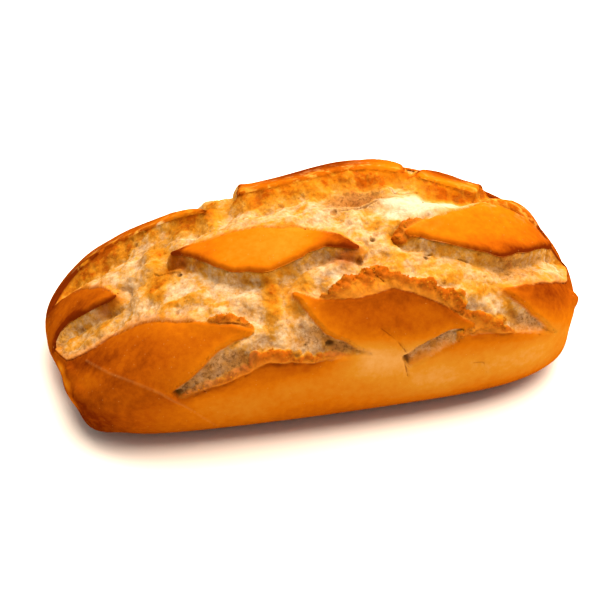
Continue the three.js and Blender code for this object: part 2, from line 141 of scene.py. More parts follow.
# The valleys
DEPTH = 5.2  # floor below the crust
DEPTH_PER_WIDTH = 0.5  # a narrow valley is shallower, by its width
LIP_RUN = 5  # across the skin, how far it takes a lip to drop to the floor
WALL_RUN = 14  # the same for a torn wall
RUN_SHARE = 0.6  # neither takes more than this share of the valley's width
TORN_BLEND = 6  # over what distance along an edge one gives way to the other
FLOOR_BULGE = 1.4  # power that makes the floor rise evenly from the foot of a lip to the far rim
ROUGH_RUN = 4  # distance from the edges at which the floor is as uneven as it gets
JOIN = 1.4  # distance over which the crumb leaves the edge of the crust
TUCK = 1.3  # distance over which it follows the crust's overhang
UNDERCUT = 0.3  # how far the crumb is hollowed out under a lip
UNDERCUT_END = (1.2, 3)  # how far from the lip that starts to end, and over what distance
CRUMB_START = (0.3, 0.7)  # how far from an edge the crust's colour ends, and over what distance
CUT_CRUST = (0.7, 2)  # beside a flush cut it goes so much further, and how far off that is felt
CUT_DEPTH = 1.8  # how far the crumb is sunk beside a flush cut
CUT_RUN = 1.6  # over what distance it sinks
CUT_END = (5, 8)  # how far from the cut it starts to rise again, and over what distance
CRAG_HEIGHT = 1.5  # how far a ridge of crags stands up
CRAG_END = (1.3, 0.45)  # where a ridge ends and how steep its end is, as shares of its width
CRAG_STRAY = 0.3  # how far its end strays, as a share of its width
CREST = (0.15, 0.55)  # where its crest begins and how far it takes to be one, as shares of its width
STREAK_END = 0.35  # share of the way down a torn wall where its streaks start to fade

# Every spot below is its centre on the skin, its reach both ways and a value
CRAGS = [  # how wide a ridge is
    (8, 44, 24, 20, 11), (35, 54, 26, 18, 8.0), (-34, 66, 24, 14, 6), (-14, 70, 20, 12, 4),
    (-57, 68, 14, 12, 2.5), (52, 68, 15, 14, 10), (-42, 46, 16, 14, 4), (27, 24, 14, 12, 4.5),
]
TUFTS = [  # shreds of crumb that stand alone, and how thick they lie
    (25, 25, 6, 5, 1.3), (-67, 14, 8, 5, 0.9), (-57, 27, 9, 3, 0.8), (57, 63, 8, 4, 1.3),
    (-14, 40, 4, 7, 0.7),
]
SWELLS = [  # places that the oven pushed out, or that sank, and how high they are
    (35, 16, 22, 12, 3.5), (13, -3, 15, 9, -3.6), (20, -36, 33, 26, 2.3), (56, -16, 26, 20, -1.5),
    (70, -44, 34, 26, -2.4), (86, -12, 18, 12, 1.8), (112, 4, 24, 28, -2.4), (-34, -40, 15, 20, 1.6),
    (-60, -46, 34, 34, -2.2), (-112, -64, 24, 28, 2.0), (-112, 14, 16, 26, 1.2), (-27, 36, 6, 9, 1.6),
    (101, 58, 9, 9, 2.2), (-132, 72, 20, 22, -2.2), (-99, 98, 15, 13, 2.4), (-110, 42, 5, 13, 1.5),
    (-103, 62, 5, 13, 1.7), (-98.5, 82, 5, 13, 1.3), (85, -50, 14, 18, -2.2), (104, 86, 18, 24, -1.5),
]
PITS = [  # the ends of two cuts and some large gas pores, and how deep they are
    (20.5, 79, 3.2, 4.5, 2.0), (-65, 69.5, 4.5, 3.6, 2.0), (-57.9, 12, 1.0, 1.0, 1.6),
    (14.5, 24.5, 1.5, 1.5, 1.4), (33.6, 35, 1.1, 1.1, 1.6), (31.9, 45.4, 1.0, 1.0, 1.4),
    (-16.9, 63.8, 0.9, 0.9, 1.2), (-7.7, 66.1, 2.6, 2.0, 1.6),
]

# A fold of skin that stands up, the fine cracks in the crust and the creases where one layer of crumb
# tore off the next, each as places along it
SEAM = [(-98, 33), (-86, 48), (-70, 65), (-62, 76), (-50, 97)]
SEAM_WIDTH = 0.7
SEAM_HEIGHT = 0.35
CRACKS = [
    [(11, 62.5), (14, 65.5), (17.5, 69.5), (20.5, 74)],
    [(20.5, 80), (21.5, 85)],
    [(47, 82.5), (52, 83), (53, 89)],
]
CRACK_WIDTH = 0.35
CRACK_DEPTH = 0.6
CREASES = [
    [(5.5, 6.8), (9.5, 7.5), (15, 6.3), (21, 4.5)],
    [(27.8, -9.8), (30.7, -8), (31.9, -3.9), (39.9, -4.4)],
    [(-66.3, 2.9), (-61.1, 8.2), (-57.7, 10.6)],
    [(34.2, 33.3), (36.7, 33)],
    [(46.5, 35.4), (50.2, 36.8)],
    [(10, 39.6), (14.1, 44.8)],
]
CREASE_WIDTH = 0.6
CREASE_DEPTH = 0.5
NO_LINE = 9  # distance noted for a line that lies further away or on the other side of an edge

# How brown the crust is, where 0 is pale dough and 1 is nearly burnt. Beside an edge it is so much browner,
# fading over a distance.
BROWNING = 0.48
SIDE_BROWNING_AND_SHADE = 0.28  # more of it where the crust faces sideways, partly browning and partly painted shade on the sides
SIDEWAYS = (0.93, 0.3)  # the normal's rise at which a side begins, and over what fall it is wholly one
RIM_BROWNING = (0.14, 6)  # beside a raised edge that faces sideways
LIP_BROWNING = (0.36, 1.2)
WALL_BROWNING = (0.14, 3)
CUT_BROWNING = (-0.25, 3)
# The spot at (-98, 0) pales the lip of the left tooth against the shade under it, which is painted light
TANNED = [  # places that took more heat, or less
    (30, 86, 64, 24, -0.55), (8, 74, 26, 14, -0.46), (-38, 84, 46, 26, -0.32), (-110, 84, 48, 45, 0.25),
    (-86, 42, 40, 22, 0.24), (-84, 44, 12, 8, -0.10), (-70, 55, 14, 12, -0.08), (-57, 77, 16, 10, -0.10),
    (82, 80, 44, 30, -0.40), (80, 54, 26, 14, 0.12), (-120, 46, 7, 14, -0.50), (-114, 62, 8, 15, -0.50),
    (-109, 80, 7, 14, -0.50), (-98, 48, 16, 14, -0.20), (-100, -4, 30, 16, 0.18), (-98, 0, 24, 6, -0.18),
    (-70, -50, 60, 22, 0.25), (5, -32, 50, 18, 0.52), (60, -26, 26, 16, 0.45), (-52, 8, 22, 18, 0.14),
    (-55, 0, 6, 5, 0.30), (0, 20, 14, 8, 0.22), (5, 25, 13, 11, 0.32), (66, 20, 44, 22, 0.12),
    (66, 31, 26, 9, 0.24), (28, 58, 14, 8, -0.10), (-19, 80, 16, 8, -0.12), (-57, -1, 8, 7, 0.20),
    (8, 28, 7, 6, 0.20), (-18, 42, 8, 7, 0.20),
]

# How toasted the crumb is, in the same way
TOASTING = 0.26
# Painted shade: the crumb under a lip is tinted towards toasted by this much, fading over this distance
LIP_SHADE_TINT = (0.22, 4.0)
# The spot at (14, -2) darkens a hollow with painted shade, and the one at (-38, 33) paints light on the
# shaded crumb under a lip
TOASTED = [
    (38, 9, 30, 12, -0.55), (-65, 7, 12, 15, 0.50), (-62, -12, 9, 10, 0.40), (-100, -35, 34, 26, 0.30),
    (-38, -30, 13, 16, 0.24), (-62, -32, 15, 9, -0.35), (-78, -43, 9, 7, 0.25), (-52, 23, 15, 10, -0.16),
    (-27, 40, 5, 16, 0.65), (-16, 38, 10, 8, 0.22), (36, 42, 14, 10, 0.20), (-38, 33, 12, 8, -0.15),
    (-5, 38, 8, 6, -0.15), (26, 24, 10, 9, 0.20), (-19, 48, 6, 7, 0.35), (20, 34, 12, 5, 0.25),
    (48, 49, 9, 6, 0.25), (-95, 14, 24, 12, 0.22), (45, -3, 30, 8, 0.08), (14, -2, 18, 11, 0.55),
    (60, 40, 40, 20, 0.08), (-34, 65, 14, 6, 0.30),
]
SCORCHED_AND_SHADED = [  # crumb browned under some lips, and painted shade in a hollow (the last row)
    (-57, 4, 9, 8, 1.3), (-48, 12, 9, 4, 0.8), (3, 31, 11, 6, 1.0), (-86, 4, 9, 5, 0.8),
    (14, -2, 19, 11, 0.2),
]
CALM = [(37, 6, 32, 15, 1.1)]  # smooth crumb, which opened last
CALMING = 0.8  # share of its relief and spots that it has lost
SHADED_HOLLOWS = [  # torn places darkened with the painted shade of a narrow cut's bottom
    (14, -2, 20, 13, 1.6), (-46, 62, 14, 8, 1.6), (-57, 66, 11, 8, 1.6), (-12, 61, 14, 9, 1.0),
    (-2, 68, 12, 6, 1.2), (33, 70, 10, 6, 1.6), (25, 75, 9, 6, 1.6), (71, 64, 14, 8, 1.4),
    (71, 39, 18, 12, 0.8),
]

# Bands of another colour beside an edge: how strong each is, and its reach
RIND = (0.4, 1.1)  # brown, on the crumb under a lip
RIM_BAND = (0.9, 2.8)  # golden, on the crumb beside an even rim
CUT_BAND = (0.7, 0.9)  # the same beside a flush cut
CRAG_BAND = (0.45, 0.8)  # the same on a ridge, where the reach is this share of its width and so much more
FRINGE = 6  # reach of the ragged change from crust to crumb at the top of a torn wall
FRINGE_END = (98, 12)  # at the end faces the change is clean, this far along and over what distance

# Unevenness of the dough, as a few seeded waves for each: number, length and height
SEED = 41
DOUGH = (6, 70, 0.9)  # the whole loaf
DOUGH_RISE = (1, 12)  # it starts at this height, and is whole after so much more
CRUMB = (14, 13, 0.6)  # its torn crumb
JAG = (12, 5, 0.5)  # the far side of its crags

# The mesh: its cell on plain crust, which is halved near an edge, again at the edge and on the crumb, and
# once more by the shown lips and the fine lines
CELL = 2.3
NEAR_EDGE = (5.0, 1.5)
NEAR_LIP = 1.1
NEAR_LINE = 1.2
SHOWN = -12  # places further round than this can be seen from the shown side
BASE_ROUND = 108  # past this distance from the crest the skin belongs to the underside
BASE_CELL = 2.5  # how much longer a cell is there
SNAP = 0.46  # a point moves onto an edge that is within this share of a cell

# The studio, in metres
AIM = (0, 0, 0.030)
SHIFT = (-0.0254, -0.016)  # of the picture, in camera widths
KEY_PLACE = (0.30, 0.12, 0.95)
FLOOR_SIZE = 6


def random_numbers(seed):
    """Numbers from 0 to 1, the same ones each time."""
    state = seed
    while True:
        state = (state * 1664525 + 1013904223) % 4294967296
        yield state / 4294967296


def make_waves(random, waves, length, height):
    """A rough field as a sum of waves in random directions."""
    directions, starts = [], []
    for _ in range(waves):
        turn = 2 * math.pi * next(random)
        rise = 2 * next(random) - 1
        flat = math.sqrt(1 - rise * rise)
        pitch = 2 * math.pi / (length * (0.6 + 0.8 * next(random)))
        directions.append([pitch * flat * math.cos(turn), pitch * flat * math.sin(turn), pitch * rise])
        starts.append(2 * math.pi * next(random))
    directions, starts = np.array(directions), np.array(starts)
    scale = height / math.sqrt(waves / 2)
    return lambda points: scale * np.sin(points @ directions.T + starts).sum(1)


def smooth(value):
    """From 0 to 1 without a corner."""
    x = np.clip(value, 0, 1)
    return x * x * (3 - 2 * x)


def near(distance, reach):
    """1 on the spot, and nothing beyond about twice the reach."""
    return np.exp(-(distance / reach) ** 2)


def unit(vectors):
    return vectors / np.maximum(np.linalg.norm(vectors, axis=1), 1e-9)[:, None]


def rounded(values, reach):
    """A closed row of values, each the mean of its neighbours."""
    return sum(np.roll(values, shift, axis=0) for shift in range(-reach, reach + 1)) / (2 * reach + 1)


def walked(steps):
    """Distance walked at each point of a path with these steps."""
    return np.concatenate([[0], np.cumsum(steps)])


def make_tree(points):
    """A tree that finds the nearest of some numbered points."""
    tree = kdtree.KDTree(len(points))
    for index, point in points.items():
        tree.insert(point, index)
    tree.balance()
    return tree


class Skin:
    """The smooth outside of the loaf, and how places on it are measured."""

    def __init__(self, length, width, height):
        self.half, self.width, self.height = length / 2, width, height
        self.outlines = {side: self.outline(SQUARENESS[side]) for side in ("left", "right")}
        self.ends = (-self.outlines["left"][0][-1], self.outlines["right"][0][-1])
        angles = np.linspace(-math.pi / 2, 1.5 * math.pi, SECTION_STEPS + 1)
        section = self.section(np.zeros_like(angles), angles)
        distance = walked(np.linalg.norm(np.diff(section, axis=0), axis=1))
        self.crest = np.interp(math.pi / 2, angles, distance)
        self.girth = distance[-1]
        self.rounds = (distance, angles)

    def outline(self, squareness):
        """Half of the plan's outline: distance walked, reach along the loaf and girth of the section."""
        angle = (math.pi / 4) * (1 - np.cos(math.pi * np.linspace(0, 1, PLAN_STEPS + 1)))
        reach = np.sin(angle) ** (2 / squareness)
        girth = np.cos(angle)
        return walked(np.hypot(self.half * np.diff(reach), CAP * np.diff(girth))), reach, girth

    @staticmethod
    def between(ends, reach):
        """A value that differs between the ends, for a place from -1 to 1 along the loaf."""
        return ends["right"] + (ends["left"] - ends["right"]) * ((1 - reach) / 2) ** 2

    def section(self, along, angle):
        """Points of the skin: 90 degrees is the crest, 180 the shown side and 0 the back."""
        left = along < 0
        reach, girth = (
            np.where(left, *(np.interp(np.abs(along), self.outlines[side][0], self.outlines[side][k])
                             for side in ("left", "right")))
            for k in (1, 2))
        reach = np.where(left, -reach, reach)
        from_peak = reach - PEAK / self.half
        height = self.height * (1 - np.where(from_peak < 0, FALL["left"], FALL["right"]) * from_peak**2)
        waist = height * WAIST
        cos, sin = np.cos(angle), np.sin(angle)
        power = np.where(sin > 0, DOME, self.between(FOOT, reach))
        radius = (np.abs(cos) ** power + np.abs(sin) ** power) ** (-1 / power)
        rise = radius * sin
        upper = rise > 0
        under = np.where(upper, 0, np.abs(rise) ** TAPER_POWER)
        lean = np.where(upper, LEAN * rise * girth, 0)
        keel, corner, end_taper = (np.where(left, value["left"], value["right"])
                                   for value in (KEEL, CORNER, END_TAPER))
        lift = np.where(upper, (height - waist) * girth, waist * BELLY * girth**keel)
        across = (self.width / 2) * girth ** (1 - corner * under) * (1 - self.between(TAPER, reach) * under)
        x = self.half * reach * (1 - end_taper * reach**2 * under)
        y = across * radius * cos + lean + BOW * reach**2
        return np.stack([x, y, np.maximum(waist + lift * rise, 0)], -1)

    def point(self, place):
        """The points of the skin at some places on it."""
        return self.section(place[:, 0], np.interp(place[:, 1] + self.crest, *self.rounds))

    def normal(self, place):
        """The way out of the loaf at each place."""
        step = 0.4
        middle = place.copy()
        middle[:, 0] = np.clip(place[:, 0], self.ends[0] + 2 * step, self.ends[1] - 2 * step)
        forward = self.point(middle + (step, 0)) - self.point(middle - (step, 0))
        across = self.point(middle + (0, step)) - self.point(middle - (0, step))
        return unit(np.cross(across, forward))


class Edges:
    """Samples along the edges of the crust, with what the oven made of each."""

    def __init__(self, skin, outlines, random):
        self.loops, rows = [], []
        for index, corners in enumerate(outlines):
            place, kind, turn = self.follow(corners, index > 0, random)
            place, turn = rounded(place, TIP // 2), rounded(turn, TIP)
            self.loops.append(place)
            point = skin.point(place)
            into = unit(skin.point(place + 0.5 * unit(turn)) - point)
            rows.append((place, kind, point, into))
        self.place, self.kind, self.point, self.into = (np.concatenate(part) for part in zip(*rows))
        room = np.clip(self.gaps() / WIDEST, 0, 1)
        overhang, lift, radius = (np.array([table[kind] for kind in KINDS])[self.kind]
                                  for table in (OVERHANG, LIFT, ROUND))
        parts = np.cumsum([len(loop) for loop in self.loops])[:-1]
        self.overhang, self.lift, self.radius = (
            np.concatenate([rounded(part, TIP) for part in np.split(values, parts)])
            for values in (overhang * room, lift * np.sqrt(room), radius))
        self.trees = {}

    def follow(self, corners, crust_inside, random):
        """Samples along one closed outline: place, kind and the way across the skin into the valley."""
        following = corners[1:] + corners[:1]
        area = sum(a[0] * b[1] - b[0] * a[1] for a, b in zip(corners, following))
        sign = math.copysign(1, area) * (1 if crust_inside else -1)
        places, kinds, turns = [], [], []
        for (along, around, kind), (next_along, next_around, _) in zip(corners, following):
            run = math.hypot(next_along - along, next_around - around)
            count = max(2, math.ceil(run / EDGE_STEP))
            waver = EDGE_WAVER * min(1, run / EDGE_WHOLE)
            phases = [next(random) for _ in range(3)]
            normal = np.array([(next_around - around) / run, -(next_along - along) / run])
            share = np.arange(count)[:, None] / count
            stray = np.sin(math.pi * share) * waver * sum(
                np.sin(2 * math.pi * (beat * 1.3 * share + phase)) / beat
                for beat, phase in zip((1, 2, 3), phases))
            places.append((1 - share) * (along, around) + share * (next_along, next_around) + stray * normal)
            kinds.append(np.full(count, kind))
            turns.append(np.tile(sign * normal, (count, 1)))
        return np.concatenate(places), np.concatenate(kinds), np.concatenate(turns)

    def gaps(self):
        """How wide the valley is in front of each sample, looking 45 degrees to each side."""
        gaps = np.full(len(self.point), float(WIDEST))
        for index, (point, into) in enumerate(zip(self.point, self.into)):
            away = self.point - point
            far = np.linalg.norm(away, axis=1)
            ahead = (away @ into > 0.7 * far) & (far > 1)
            if ahead.any():
                gaps[index] = min(WIDEST, far[ahead].min())
        return gaps

    def nearest(self, points, kinds=KINDS):
        """For each point the nearest sample of these kinds and its distance."""
        if kinds not in self.trees:
            chosen = np.nonzero(np.isin(self.kind, kinds))[0]
            self.trees[kinds] = make_tree({int(index): self.point[index] for index in chosen})
        found = [self.trees[kinds].find(point)[1:] for point in points]
        return np.array([f[0] for f in found]), np.array([f[1] for f in found])

    def opened(self, place):
        """Whether each place lies in a valley: in the opened outline and in no plate."""
        inside = [self.inside(loop, *place.T) for loop in self.loops]
        return inside[0] & ~np.any(inside[1:], axis=0)

    @staticmethod
    def inside(loop, along, around):
        """Whether each place lies inside a closed outline, by the sides that a line from it crosses."""
        inside = np.zeros(len(along), bool)
        for (a, r), (b, q) in zip(loop, np.roll(loop, -1, axis=0)):
            crosses = (r > around) != (q > around)
            if crosses.any():
                inside[crosses] ^= along[crosses] < a + (around[crosses] - r) / (q - r) * (b - a)
        return inside


# A triangle's corners are 0, 1 and 2, and 3, 4 and 5 are the middles of its sides 01, 12 and 20. For each
# set of sides that are split, written as the sum of 1, 2 and 4, these are the triangles it falls into.
SPLITS = {
    0: [(0, 1, 2)],
    1: [(0, 3, 2), (3, 1, 2)],
    2: [(0, 1, 4), (0, 4, 2)],
    3: [(3, 1, 4), (0, 3, 4), (0, 4, 2)],
    4: [(0, 1, 5), (5, 1, 2)],
    5: [(0, 3, 5), (3, 1, 2), (3, 2, 5)],
    6: [(4, 2, 5), (0, 1, 4), (0, 4, 5)],
    7: [(0, 3, 5), (3, 1, 4), (5, 4, 2), (3, 4, 5)],
}


def refine(place, triangles, wanted):
    """Halves the sides of the wanted triangles, and fits their neighbours to them."""
    sides = np.sort(triangles[:, [[0, 1], [1, 2], [2, 0]]], axis=2).reshape(-1, 2)
    sides, side_of = np.unique(sides, axis=0, return_inverse=True)
    side_of = side_of.reshape(-1, 3)
    split = np.zeros(len(sides), bool)
    split[side_of[wanted]] = True
    number = np.cumsum(split) - 1 + len(place)
    corners = np.concatenate([triangles, number[side_of]], axis=1)
    case = split[side_of] @ (1, 2, 4)
    parts = [corners[case == key][:, part] for key, into in SPLITS.items() for part in into]
    return np.concatenate([place, place[sides[split]].mean(1)]), np.concatenate(parts)


class BakedLoaf:
    """The loaf's surface: places on the skin, triangles, points and what each point is made of."""

    def __init__(self, length, width, height):
        random = random_numbers(SEED)
        self.skin = Skin(length, width, height)
        self.dough = make_waves(random, *DOUGH)
        self.crumb = make_waves(random, *CRUMB)
        self.edges = Edges(self.skin, [OPENED] + PLATES, random)
        self.jag = make_waves(random, *JAG)
        self.place, self.triangles = self.grid()
        for distance in NEAR_EDGE:
            middle = self.place[self.triangles].mean(1)
            seen = np.abs(self.place[self.triangles][:, :, 1]).max(1) < BASE_ROUND - CELL
            wanted = (self.edges.nearest(self.skin.point(middle))[1] < distance) | self.edges.opened(middle)
            self.place, self.triangles = refine(self.place, self.triangles, seen & wanted)
        middle = self.place[self.triangles].mean(1)
        self.place, self.triangles = refine(self.place, self.triangles, self.finest(middle))
        self.snap()
        self.bake()

    def finest(self, place):
        """Whether each place is by a lip on the shown side, the fold of skin, a crack or a crease."""
        point = self.skin.point(place)
        by_lip = (self.edges.nearest(point, (LIP,))[1] < NEAR_LIP) & (place[:, 1] > SHOWN)
        return by_lip | (self.line_distance(point, [SEAM] + CRACKS + CREASES) < NEAR_LINE)

    def grid(self):
        """Even cells over the skin, coarser on the underside, with a fan of triangles at each end."""
        def steps(start, end, spacing):
            return list(np.linspace(start, end, max(1, round((end - start) / spacing)) + 1)[:-1])

        low, high = self.skin.ends
        alongs = steps(low + CELL, high - CELL, CELL) + [high - CELL]
        under = [r if r < self.skin.girth - self.skin.crest else r - self.skin.girth
                 for r in steps(BASE_ROUND, self.skin.girth - BASE_ROUND, BASE_CELL * CELL)]
        arounds = steps(-BASE_ROUND, BASE_ROUND, CELL) + under
        rows, columns = len(alongs), len(arounds)
        place = np.array(np.meshgrid(alongs, arounds, indexing="ij")).reshape(2, -1).T
        place = np.concatenate([place, [(low, 0), (high, 0)]])
        i, j = np.meshgrid(np.arange(rows - 1), np.arange(columns), indexing="ij")
        k = (j + 1) % columns
        a, b, c, d = (corner.ravel() for corner in (
            i * columns + j, i * columns + k, (i + 1) * columns + k, (i + 1) * columns + j))
        even = ((i + j) % 2 == 0).ravel()
        first = np.where(even, [a, b, c], [a, b, d]).T
        second = np.where(even, [a, c, d], [b, c, d]).T
        j = np.arange(columns)
        k = (j + 1) % columns
        top = (rows - 1) * columns
        tip = np.full(columns, len(place) - 2)
        fans = [np.stack([tip, k, j], 1), np.stack([tip + 1, top + j, top + k], 1)]
        return place, np.concatenate([first, second] + fans)

    def snap(self):
        """Moves the points next to an edge of the crust onto it, so that the edge is crisp."""
        index, distance = self.edges.nearest(self.skin.point(self.place))
        cell = np.where(self.finest(self.place), CELL / 8, CELL / 4)
        close = (distance < SNAP * cell) & (np.abs(self.place[:, 1]) < BASE_ROUND - 1)
        taken = set()
        for i in np.nonzero(close)[0]:
            if index[i] not in taken:
                taken.add(index[i])
                self.place[i] = self.edges.place[index[i]]

    def line_distance(self, points, lines):
        """How far each point is from the nearest of some lines over the skin."""
        samples = np.concatenate([
            np.linspace(start, end, max(2, math.ceil(math.dist(start, end) / EDGE_STEP)))
            for line in lines for start, end in zip(line, line[1:])])
        tree = make_tree(dict(enumerate(self.skin.point(samples))))
        return np.array([tree.find(point)[2] for point in points])

    def spots(self, rows):
        """The sum of some rounded spots on the skin: centre, reach both ways and strength."""
        along, around = self.place.T
        return sum(strength * smooth(1 - np.hypot((along - a) / reach_a, (around - r) / reach_r))
                   for a, r, reach_a, reach_r, strength in rows)

    def bake(self):
        """Lifts and bends the crust, sinks the valleys and notes what each point is made of."""
        skin, edges = self.skin, self.edges
        point, normal = skin.point(self.place), skin.normal(self.place)
        self.index, self.distance = edges.nearest(point)
        self.far = {kind: edges.nearest(point, (kind,))[1] for kind in KINDS}
        above = point[:, 2] > 0
        self.opened = edges.opened(self.place) & (self.distance > 1e-3) & above
        back = np.maximum(1 - self.distance / CURL_RUN, 0) ** 2
        level, into, self.marks = self.valley(point)
        seam, crack, crease = (self.line_distance(point, lines) for lines in ([SEAM], CRACKS, CREASES))
        for name, line, side in (("seam", seam, ~self.opened), ("crack", crack, ~self.opened),
                                 ("crease", crease, self.opened)):
            self.marks[name] = np.where(side, np.minimum(line, NO_LINE), NO_LINE)
        start, rise = DOUGH_RISE
        height = self.dough(point) * smooth((point[:, 2] - start) / rise) + self.spots(SWELLS)
        radius = edges.radius[self.index]
        turned = np.clip(1 - self.distance / radius, 0, 1) ** 2
        height += np.where(self.opened, level, edges.lift[self.index] * back - radius * turned)
        height += np.where(self.opened, -CREASE_DEPTH * near(crease, CREASE_WIDTH),
                           SEAM_HEIGHT * near(seam, SEAM_WIDTH) - CRACK_DEPTH * near(crack, CRACK_WIDTH))
        into = np.where(self.opened, into, edges.overhang[self.index] * back)
        self.point = point + into[:, None] * edges.into[self.index]
        self.point += np.where(above, height, 0)[:, None] * normal
        self.point[:, 2] = np.maximum(self.point[:, 2], 0)
        self.brown(normal)

    def brown(self, normal):
        """Notes how brown the crust and how toasted the crumb is at each point, with painted shade and light
        mixed in.
        """
        side, fall = SIDEWAYS
        sideways = smooth((side - normal[:, 2]) / fall)
        # The crust that faces sideways is darker: partly browning, partly painted shade on the sides
        brown = BROWNING + SIDE_BROWNING_AND_SHADE * sideways + self.spots(TANNED)
        raised = np.min([self.far[kind] for kind in (RIM, CRAG, WALL)], 0)
        for distance, where, (amount, reach) in (
                (raised, sideways, RIM_BROWNING), (self.far[LIP], 1, LIP_BROWNING),
                (self.far[WALL], 1, WALL_BROWNING), (self.far[CUT], 1, CUT_BROWNING)):
            brown += where * amount * np.exp(-distance / reach)
        # Under a lip the crumb is darkened towards toasted, which is painted shade
        amount, reach = LIP_SHADE_TINT
        toast = TOASTING + self.spots(TOASTED) + amount * np.exp(-self.far[LIP] / reach)
        strength, reach = RIND
        # The rind is the crust's own brown under a lip, and the spot in the hollow adds painted shade
        rind = np.clip(strength * near(self.far[LIP], reach) + self.spots(SCORCHED_AND_SHADED), 0, 0.9)
        end, fade = FRINGE_END
        fringe = near(self.far[WALL], FRINGE) * smooth((end - np.abs(self.place[:, 0])) / fade)
        self.marks.update(edge=self.distance, brown=brown, toast=toast, rind=rind, fringe=fringe)

    def valley(self, point):
        """The torn crumb: its height over the skin, its shift off the edge, and its marks."""
        far, edges = self.far, self.edges
        step = np.minimum(far[LIP], far[WALL])
        rim = np.minimum(np.minimum(far[RIM], far[CRAG]), far[CUT])
        width = step + rim
        rough = self.crumb(point)
        torn = smooth((far[LIP] - far[WALL]) / TORN_BLEND + 0.5)
        run = np.minimum(LIP_RUN + torn * (WALL_RUN - LIP_RUN), RUN_SHARE * width)
        fallen = np.clip(step / run, 0, 1)
        drop = (1 - torn) * smooth(fallen) + torn * (1 - (1 - fallen) ** 2)
        climb = np.clip(rim / (width - run), 0, 1) ** FLOOR_BULGE
        level = -np.minimum(DEPTH, DEPTH_PER_WIDTH * width) * drop * climb
        start, fade = CUT_END
        level -= CUT_DEPTH * smooth(far[CUT] / CUT_RUN) * (1 - smooth((far[CUT] - start) / fade))

        crags = self.spots(CRAGS)
        stray = np.clip(rough, -1, 1) + np.clip(self.jag(point), -1, 1)
        crag_width = crags * (1 + CRAG_STRAY * stray)
        across = far[CRAG] / np.maximum(crag_width, 0.5)
        end, slope = CRAG_END
        crag = smooth((end - across) / slope) * smooth(crags / 2)
        level += CRAG_HEIGHT * crag * smooth(across) * smooth(crags / 5)
        level += rough * smooth(np.minimum(step, rim) / ROUGH_RUN)
        pits = self.spots(PITS)
        join = smooth(self.distance / JOIN)
        level = join * level + (1 - join) * (edges.lift[self.index] - edges.radius[self.index]) - pits

        overhang = edges.overhang[self.index]
        end, fade = UNDERCUT_END
        under = smooth(self.distance) * (1 - smooth((self.distance - end) / fade))
        shift = overhang * (1 - smooth(self.distance / TUCK)) - UNDERCUT * overhang / OVERHANG[LIP] * under

        (start, fade), (more, reach) = CRUMB_START, CUT_CRUST
        crumb = smooth((self.distance - start - more * near(far[CUT], reach)) / fade)
        (by_rim, rim_reach), (by_cut, cut_reach), (share, more) = RIM_BAND, CUT_BAND, CRAG_BAND
        band = np.maximum(by_rim * near(far[RIM], rim_reach), by_cut * near(far[CUT], cut_reach))
        band = np.maximum(band, smooth(crags / 2) * near(far[CRAG], share * crag_width + more))
        start, fade = CREST
        marks = {
            "crumb": crumb,
            "crag": crag,
            "crest": np.maximum(crag * smooth((across - start) / fade), np.clip(self.spots(TUFTS), 0, 1)),
            "wall": torn * (1 - smooth((step - STREAK_END * run) / ((1 - STREAK_END) * run))),
            "pit": smooth(pits),
            "band": band,
            "coarse": 1 - CALMING * np.clip(self.spots(CALM), 0, 1),
            # Painted shade of the narrow cuts and hollows
            "narrow": np.minimum(self.spots(SHADED_HOLLOWS), 1),
        }
        return level, shift, {name: self.opened * values for name, values in marks.items()}

    def mesh(self, name):
        """The surface as a mesh in metres, centred on its base, with its marks as attributes."""
        low, high = self.point.min(0), self.point.max(0)
        points = self.point - [(low[0] + high[0]) / 2, (low[1] + high[1]) / 2, low[2]]
        mesh = bpy.data.meshes.new(name)
        mesh.from_pydata((points * MM).tolist(), [], self.triangles.tolist())
        for key, values in self.marks.items():
            layer = mesh.attributes.new(key, "FLOAT", "POINT")
            layer.data.foreach_set("value", values.astype(np.float32))
        flat = mesh.attributes.new("place", "FLOAT2", "POINT")
        flat.data.foreach_set("vector", (self.place * MM).astype(np.float32).ravel())
        mesh.shade_smooth()
        return mesh


def add(tree, kind, inputs=(), out=0, stops=(), **settings):
    """Adds a node, sets it up, feeds its inputs in order or by name, and returns one of its outputs.

    An input takes another node's output or a value. Stops are a colour ramp's places and colours.
    """
    node = tree.nodes.new(kind)
    for key, value in settings.items():
        setattr(node, key, value)
    for key, value in inputs.items() if isinstance(inputs, dict) else enumerate(inputs):
        if isinstance(value, NodeSocket):
            tree.links.new(value, node.inputs[key])
        else:
            node.inputs[key].default_value = value
    for index, (place, colour) in enumerate(stops):
        stop = node.color_ramp.elements[index] if index < 2 else node.color_ramp.elements.new(place)
        stop.position = place
        stop.color = colour
    return node.outputs[out] if node.outputs else node


def linear(hex_colour):
    """An sRGB hex colour as linear RGBA."""
    channels = [int(hex_colour[i:i + 2], 16) / 255 for i in (0, 2, 4)]
    return tuple(c / 12.92 if c <= 0.04045 else ((c + 0.055) / 1.055) ** 2.4 for c in channels) + (1,)


def add_piece(name, mesh, tree, shape):
    """Runs a Geometry Nodes tree on a mesh, with the sizes of the loaf, and keeps the result as a piece."""
    piece = bpy.data.objects.new(name, mesh)
    bpy.context.scene.collection.objects.link(piece)
    modifier = piece.modifiers.new("relief", "NODES")
    modifier.node_group = tree
    for item in tree.interface.items_tree:
        if item.in_out == "INPUT" and item.socket_type != "NodeSocketGeometry":
            modifier[item.identifier] = getattr(shape, item.name.lower().replace(" ", "_"))
    made = piece.evaluated_get(bpy.context.evaluated_depsgraph_get())
    mesh = bpy.data.meshes.new_from_object(made)
    piece.modifiers.remove(modifier)
    piece.data = mesh
    mesh.name = name
    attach(piece, BODY)
    return piece


